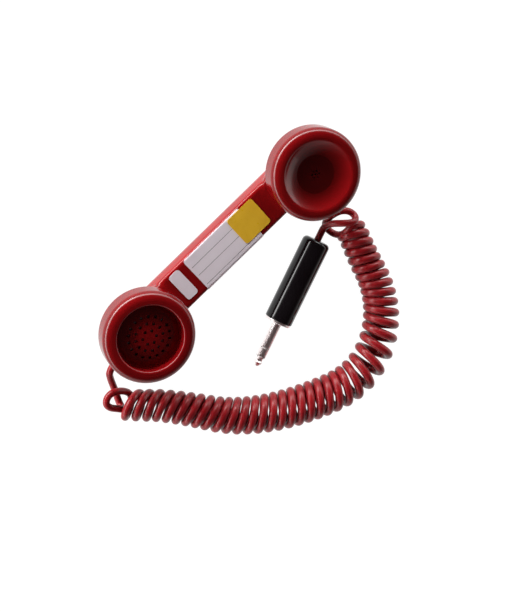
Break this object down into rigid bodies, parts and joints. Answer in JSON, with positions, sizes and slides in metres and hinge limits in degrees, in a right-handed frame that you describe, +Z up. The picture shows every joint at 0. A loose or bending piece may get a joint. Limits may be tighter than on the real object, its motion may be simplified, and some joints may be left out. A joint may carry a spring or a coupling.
{
  "type": "telephone handset",
  "caption": "Two-cup portable telephone handset with screw-on caps, a curly cord and a quarter-inch jack plug with a screw-on barrel.",
  "frame": {"origin": "on the floor, under the middle of the handle, which lies on its back", "axes": "+X towards the ear end along the handle, +Z up through the caps, -Y the side where the cord and plug lie"},
  "size_m": [0.2217, 0.174, 0.045],
  "materials": {
    "red_plastic": "glossy moulded",
    "black_plastic": "moulded",
    "cord_vinyl": "soft vinyl, semi-gloss",
    "label_white": "satin film",
    "label_yellow": "satin film",
    "nickel": "bright plated",
    "insulator": "moulded",
    "rubber": "matt",
    "aluminium": "pressed",
    "steel": "plated",
    "magnet": "sintered",
    "film": "thin film",
    "copper": "enamelled wire",
    "brass": "turned",
    "wire": "insulated wire",
    "foam": "soft foam"
  },
  "bodies": {
    "root": {"handle_shell": "red_plastic", "receiver_can": "aluminium", "receiver_grille": "aluminium", "receiver_clamp_ring": "black_plastic", "receiver_diaphragm": "film", "receiver_frame": "black_plastic", "receiver_magnet": "magnet", "receiver_top_plate": "steel", "receiver_pole": "steel", "receiver_voice_coil": "copper", "receiver_terminal_screws": "brass", "transmitter_terminal_cup": "black_plastic", "transmitter_terminal_screws": "brass", "transmitter_contact_springs": "brass", "transmitter_can": "aluminium", "transmitter_grille": "aluminium", "transmitter_clamp_ring": "black_plastic", "transmitter_diaphragm": "film", "transmitter_support_ring": "black_plastic", "transmitter_carbon_chamber": "black_plastic", "transmitter_electrode": "brass", "label_white": "label_white", "label_yellow": "label_yellow", "label_small": "label_white", "cord_grommet": "rubber", "cord_anchor": "steel", "anchor_screw": "steel", "cord_conductors": "wire", "receiver_leads": "wire", "damping_foam": "foam", "cord_handset_lead": "cord_vinyl", "cord_curls": "cord_vinyl", "plug_sleeve": "nickel", "plug_rear_insulator": "insulator", "plug_ring": "nickel", "plug_front_insulator": "insulator", "plug_tip": "nickel", "plug_terminal_block": "insulator", "plug_terminal_washer": "insulator", "plug_ring_lug": "brass", "plug_tip_lug": "brass", "plug_cord_clamp": "brass", "plug_conductors": "wire"},
    "receiver_cap_travel": {"receiver_gasket": "rubber"},
    "receiver_cap_turn": {"receiver_cap": "red_plastic"},
    "transmitter_cap_travel": {"transmitter_gasket": "rubber"},
    "transmitter_cap_turn": {"transmitter_cap": "red_plastic"},
    "plug_barrel_travel": {"plug_liner": "film"},
    "plug_barrel_turn": {"plug_barrel": "black_plastic"}
  },
  "joints": [
    {"name": "receiver_cap_lift", "type": "slide", "parent": "root", "child": "receiver_cap_travel", "axis": [0, 0, 1], "range_m": [0, 0.006]},
    {"name": "receiver_cap_unscrew", "type": "hinge", "parent": "receiver_cap_travel", "child": "receiver_cap_turn", "pos_m": [0.0705, 0, 0.0375], "axis": [0, 0, 1], "range_deg": [0, 720]},
    {"name": "transmitter_cap_lift", "type": "slide", "parent": "root", "child": "transmitter_cap_travel", "axis": [0, 0, 1], "range_m": [0, 0.006]},
    {"name": "transmitter_cap_unscrew", "type": "hinge", "parent": "transmitter_cap_travel", "child": "transmitter_cap_turn", "pos_m": [-0.0705, 0, 0.0375], "axis": [0, 0, 1], "range_deg": [0, 720]},
    {"name": "plug_barrel_slide", "type": "slide", "parent": "root", "child": "plug_barrel_travel", "axis": [0.9304, 0.3665, 0], "range_m": [0, 0.005]},
    {"name": "plug_barrel_unscrew", "type": "hinge", "parent": "plug_barrel_travel", "child": "plug_barrel_turn", "pos_m": [0.04793, -0.04551, 0.0091], "axis": [0.9304, 0.3665, 0], "range_deg": [0, 1800]}
  ],
  "couplings": [
    {"joint": "receiver_cap_lift", "follows": "receiver_cap_unscrew", "m_per_rad": 0.000477},
    {"joint": "transmitter_cap_lift", "follows": "transmitter_cap_unscrew", "m_per_rad": 0.000477},
    {"joint": "plug_barrel_slide", "follows": "plug_barrel_unscrew", "m_per_rad": 0.000159}
  ]
}
